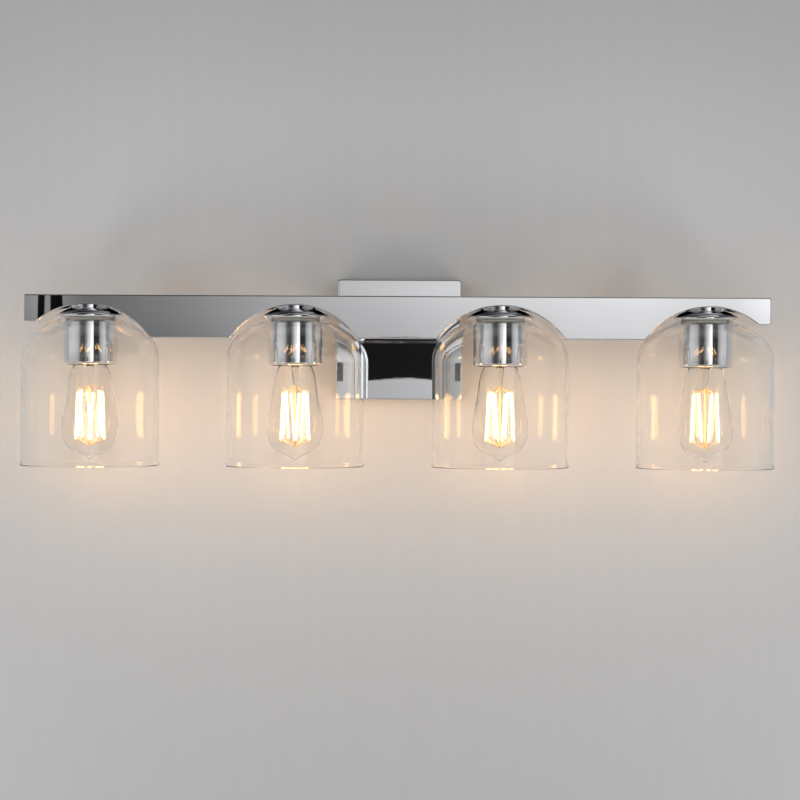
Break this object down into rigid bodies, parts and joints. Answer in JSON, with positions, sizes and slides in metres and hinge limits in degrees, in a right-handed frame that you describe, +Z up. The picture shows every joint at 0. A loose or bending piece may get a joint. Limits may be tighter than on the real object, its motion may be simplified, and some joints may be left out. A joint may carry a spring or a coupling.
{
  "type": "vanity light bar",
  "caption": "Wall light for above a mirror: clear glass bell shades with screw-in bulbs hang in a row under a scooped, polished bar on a square backplate.",
  "frame": {"origin": "centre of the backplate's rear rim, on the wall plane, midway between the two junction box screw slots", "axes": "+X along the bar, +Y into the wall (the light faces -Y), +Z up"},
  "size_m": [0.8308, 0.1734, 0.2117],
  "materials": {
    "polished_chrome": "mirror-polished plating",
    "chrome_sheet_rear": "plated, duller on the back",
    "zinc_steel": "zinc-plated, satin",
    "chrome_screws": "plated, polished head",
    "green_screw": "green-coated steel",
    "cream_phenolic": "moulded cream phenolic",
    "brass": "bright rolled brass",
    "rubber_gasket": "translucent grey silicone",
    "shade_glass": "clear, thick, smooth",
    "bulb_glass": "clear, thin",
    "stem_glass": "clear glass with a pressed end",
    "bulb_base_metal": "nickel-plated, rolled thread",
    "bulb_insulator": "black vitreous glass",
    "bulb_tip_metal": "tinned brass button",
    "filament": "phosphor-coated stick, lit warm white",
    "support_wire": "drawn wire",
    "black_insulation": "heat-resistant sleeve",
    "white_insulation": "heat-resistant sleeve",
    "bare_copper": "bare copper",
    "connector_plastic": "moulded, finely ribbed"
  },
  "bodies": {
    "fixture": {"bar_shell": "polished_chrome", "backplate": "polished_chrome", "standoff_posts": "polished_chrome", "shade_cap_1": "polished_chrome", "shade_cap_2": "polished_chrome", "shade_cap_3": "polished_chrome", "shade_cap_4": "polished_chrome", "bar_rear_cover": "chrome_sheet_rear", "crossbar": "zinc_steel", "post_nuts": "zinc_steel", "nipple_nuts": "zinc_steel", "lock_washers": "zinc_steel", "socket_nipples": "zinc_steel", "cover_screws": "zinc_steel", "backplate_screws": "chrome_screws", "ground_screw": "green_screw", "lampholders": "cream_phenolic", "screw_shells": "brass", "centre_contacts": "brass", "shade_gaskets": "rubber_gasket", "black_leads": "black_insulation", "white_leads": "white_insulation", "ground_lead": "bare_copper", "wire_connectors": "connector_plastic"},
    "shade_1": {"glass_shade_1": "shade_glass"},
    "cup_1": {"socket_cup_1": "polished_chrome"},
    "bulb_tip_1": {"bulb_contact_1": "bulb_tip_metal"},
    "bulb_1": {"bulb_base_1": "bulb_base_metal", "bulb_insulator_1": "bulb_insulator", "bulb_glass_1": "bulb_glass", "bulb_stem_1": "stem_glass", "bulb_filaments_1": "filament", "bulb_supports_1": "support_wire"},
    "shade_2": {"glass_shade_2": "shade_glass"},
    "cup_2": {"socket_cup_2": "polished_chrome"},
    "bulb_tip_2": {"bulb_contact_2": "bulb_tip_metal"},
    "bulb_2": {"bulb_base_2": "bulb_base_metal", "bulb_insulator_2": "bulb_insulator", "bulb_glass_2": "bulb_glass", "bulb_stem_2": "stem_glass", "bulb_filaments_2": "filament", "bulb_supports_2": "support_wire"},
    "shade_3": {"glass_shade_3": "shade_glass"},
    "cup_3": {"socket_cup_3": "polished_chrome"},
    "bulb_tip_3": {"bulb_contact_3": "bulb_tip_metal"},
    "bulb_3": {"bulb_base_3": "bulb_base_metal", "bulb_insulator_3": "bulb_insulator", "bulb_glass_3": "bulb_glass", "bulb_stem_3": "stem_glass", "bulb_filaments_3": "filament", "bulb_supports_3": "support_wire"},
    "shade_4": {"glass_shade_4": "shade_glass"},
    "cup_4": {"socket_cup_4": "polished_chrome"},
    "bulb_tip_4": {"bulb_contact_4": "bulb_tip_metal"},
    "bulb_4": {"bulb_base_4": "bulb_base_metal", "bulb_insulator_4": "bulb_insulator", "bulb_glass_4": "bulb_glass", "bulb_stem_4": "stem_glass", "bulb_filaments_4": "filament", "bulb_supports_4": "support_wire"}
  },
  "joints": [
    {"name": "shade_drop_1", "type": "slide", "parent": "fixture", "child": "shade_1", "axis": [0, 0, 1], "range_m": [-0.00875, 0]},
    {"name": "cup_turn_1", "type": "hinge", "parent": "shade_1", "child": "cup_1", "pos_m": [-0.339, -0.097, 0], "axis": [0, 0, 1], "range_deg": [-1261, 0]},
    {"name": "bulb_drop_1", "type": "slide", "parent": "fixture", "child": "bulb_tip_1", "axis": [0, 0, 1], "range_m": [-0.0127, 0]},
    {"name": "bulb_turn_1", "type": "hinge", "parent": "bulb_tip_1", "child": "bulb_1", "pos_m": [-0.339, -0.097, 0], "axis": [0, 0, 1], "range_deg": [-1261, 0]},
    {"name": "shade_drop_2", "type": "slide", "parent": "fixture", "child": "shade_2", "axis": [0, 0, 1], "range_m": [-0.00875, 0]},
    {"name": "cup_turn_2", "type": "hinge", "parent": "shade_2", "child": "cup_2", "pos_m": [-0.113, -0.097, 0], "axis": [0, 0, 1], "range_deg": [-1261, 0]},
    {"name": "bulb_drop_2", "type": "slide", "parent": "fixture", "child": "bulb_tip_2", "axis": [0, 0, 1], "range_m": [-0.0127, 0]},
    {"name": "bulb_turn_2", "type": "hinge", "parent": "bulb_tip_2", "child": "bulb_2", "pos_m": [-0.113, -0.097, 0], "axis": [0, 0, 1], "range_deg": [-1261, 0]},
    {"name": "shade_drop_3", "type": "slide", "parent": "fixture", "child": "shade_3", "axis": [0, 0, 1], "range_m": [-0.00875, 0]},
    {"name": "cup_turn_3", "type": "hinge", "parent": "shade_3", "child": "cup_3", "pos_m": [0.113, -0.097, 0], "axis": [0, 0, 1], "range_deg": [-1261, 0]},
    {"name": "bulb_drop_3", "type": "slide", "parent": "fixture", "child": "bulb_tip_3", "axis": [0, 0, 1], "range_m": [-0.0127, 0]},
    {"name": "bulb_turn_3", "type": "hinge", "parent": "bulb_tip_3", "child": "bulb_3", "pos_m": [0.113, -0.097, 0], "axis": [0, 0, 1], "range_deg": [-1261, 0]},
    {"name": "shade_drop_4", "type": "slide", "parent": "fixture", "child": "shade_4", "axis": [0, 0, 1], "range_m": [-0.00875, 0]},
    {"name": "cup_turn_4", "type": "hinge", "parent": "shade_4", "child": "cup_4", "pos_m": [0.339, -0.097, 0], "axis": [0, 0, 1], "range_deg": [-1261, 0]},
    {"name": "bulb_drop_4", "type": "slide", "parent": "fixture", "child": "bulb_tip_4", "axis": [0, 0, 1], "range_m": [-0.0127, 0]},
    {"name": "bulb_turn_4", "type": "hinge", "parent": "bulb_tip_4", "child": "bulb_4", "pos_m": [0.339, -0.097, 0], "axis": [0, 0, 1], "range_deg": [-1261, 0]}
  ],
  "couplings": [
    {"joint": "cup_turn_1", "follows": "shade_drop_1", "rad_per_m": 2513.3},
    {"joint": "bulb_turn_1", "follows": "bulb_drop_1", "rad_per_m": 1731.6},
    {"joint": "cup_turn_2", "follows": "shade_drop_2", "rad_per_m": 2513.3},
    {"joint": "bulb_turn_2", "follows": "bulb_drop_2", "rad_per_m": 1731.6},
    {"joint": "cup_turn_3", "follows": "shade_drop_3", "rad_per_m": 2513.3},
    {"joint": "bulb_turn_3", "follows": "bulb_drop_3", "rad_per_m": 1731.6},
    {"joint": "cup_turn_4", "follows": "shade_drop_4", "rad_per_m": 2513.3},
    {"joint": "bulb_turn_4", "follows": "bulb_drop_4", "rad_per_m": 1731.6}
  ]
}
